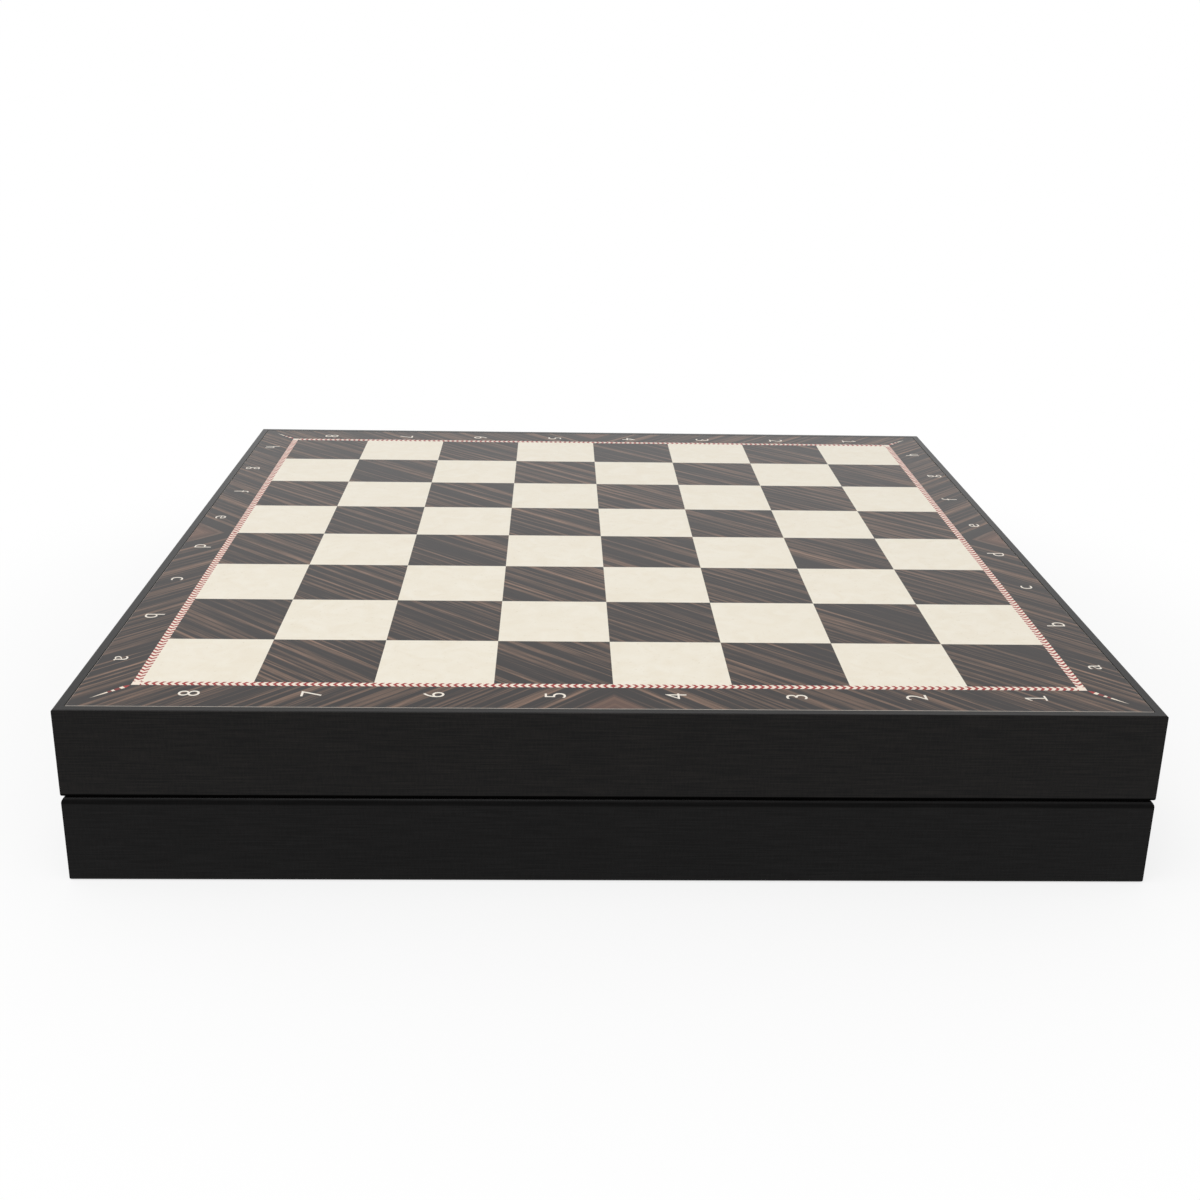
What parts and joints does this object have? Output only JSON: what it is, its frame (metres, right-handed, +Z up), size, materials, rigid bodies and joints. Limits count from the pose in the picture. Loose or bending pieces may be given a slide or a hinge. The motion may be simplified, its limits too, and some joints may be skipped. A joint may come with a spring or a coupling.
{
  "type": "chess storage case",
  "caption": "Flat hinged box whose lid is an inlaid eight by eight board, with a fitted tray inside for game pieces, two butt hinges and two snap latches.",
  "frame": {"origin": "middle of the case's underside, on the surface that it stands on", "axes": "+Z up; +X towards the latches, -X towards the hinges, -Y the pictured near side"},
  "size_m": [0.3672, 0.36, 0.062],
  "materials": {
    "black_foil": "satin black wood-grain foil wrapped round fibreboard",
    "fibreboard": "raw fibreboard under veneer",
    "light_veneer": "cream burr veneer under high-gloss lacquer",
    "dark_veneer": "dark brown striped veneer under high-gloss lacquer",
    "border_veneer": "dark brown striped veneer under high-gloss lacquer",
    "stringing": "cream and red chevron stringing under high-gloss lacquer",
    "flock": "flocked, deep red",
    "velvet": "velvet over foam, deep red",
    "brass": "polished and lacquered brass"
  },
  "bodies": {
    "base": {"base_wall_a_side": "black_foil", "base_wall_h_side": "black_foil", "base_wall_hinge_side": "black_foil", "base_wall_latch_side": "black_foil", "base_floor_panel": "black_foil", "tray_base_sheet": "flock", "tray_latch_row": "flock", "tray_hinge_row": "flock", "tray_pair_row": "flock", "hinge_a_base_leaf": "brass", "hinge_h_base_leaf": "brass", "hinge_a_pin": "brass", "hinge_h_pin": "brass", "hinge_base_screws": "brass", "latch_a_catch_plate": "brass", "latch_h_catch_plate": "brass", "latch_catch_screws": "brass"},
    "lid": {"lid_wall_a_side": "black_foil", "lid_wall_h_side": "black_foil", "lid_wall_hinge_side": "black_foil", "lid_wall_latch_side": "black_foil", "board_core": "fibreboard", "light_squares": "light_veneer", "dark_squares": "dark_veneer", "chevron_stringing": "stringing", "border_veneer": "border_veneer", "corner_darts": "stringing", "lid_pad": "velvet", "hinge_a_lid_leaf": "brass", "hinge_h_lid_leaf": "brass", "hinge_lid_screws": "brass", "latch_a_hasp_plate": "brass", "latch_h_hasp_plate": "brass", "latch_a_hasp_pin": "brass", "latch_h_hasp_pin": "brass", "latch_hasp_screws": "brass"},
    "hasp_a": {"latch_a_hasp_flap": "brass"},
    "hasp_h": {"latch_h_hasp_flap": "brass"}
  },
  "joints": [
    {"name": "lid_hinge", "type": "hinge", "parent": "base", "child": "lid", "pos_m": [-0.182, 0, 0.031], "axis": [0, -1, 0], "range_deg": [0, 180]},
    {"name": "hasp_a_pivot", "type": "hinge", "parent": "lid", "child": "hasp_a", "pos_m": [0.1816, -0.09, 0.035], "axis": [0, -1, 0], "range_deg": [0, 150]},
    {"name": "hasp_h_pivot", "type": "hinge", "parent": "lid", "child": "hasp_h", "pos_m": [0.1816, 0.09, 0.035], "axis": [0, -1, 0], "range_deg": [0, 150]}
  ]
}
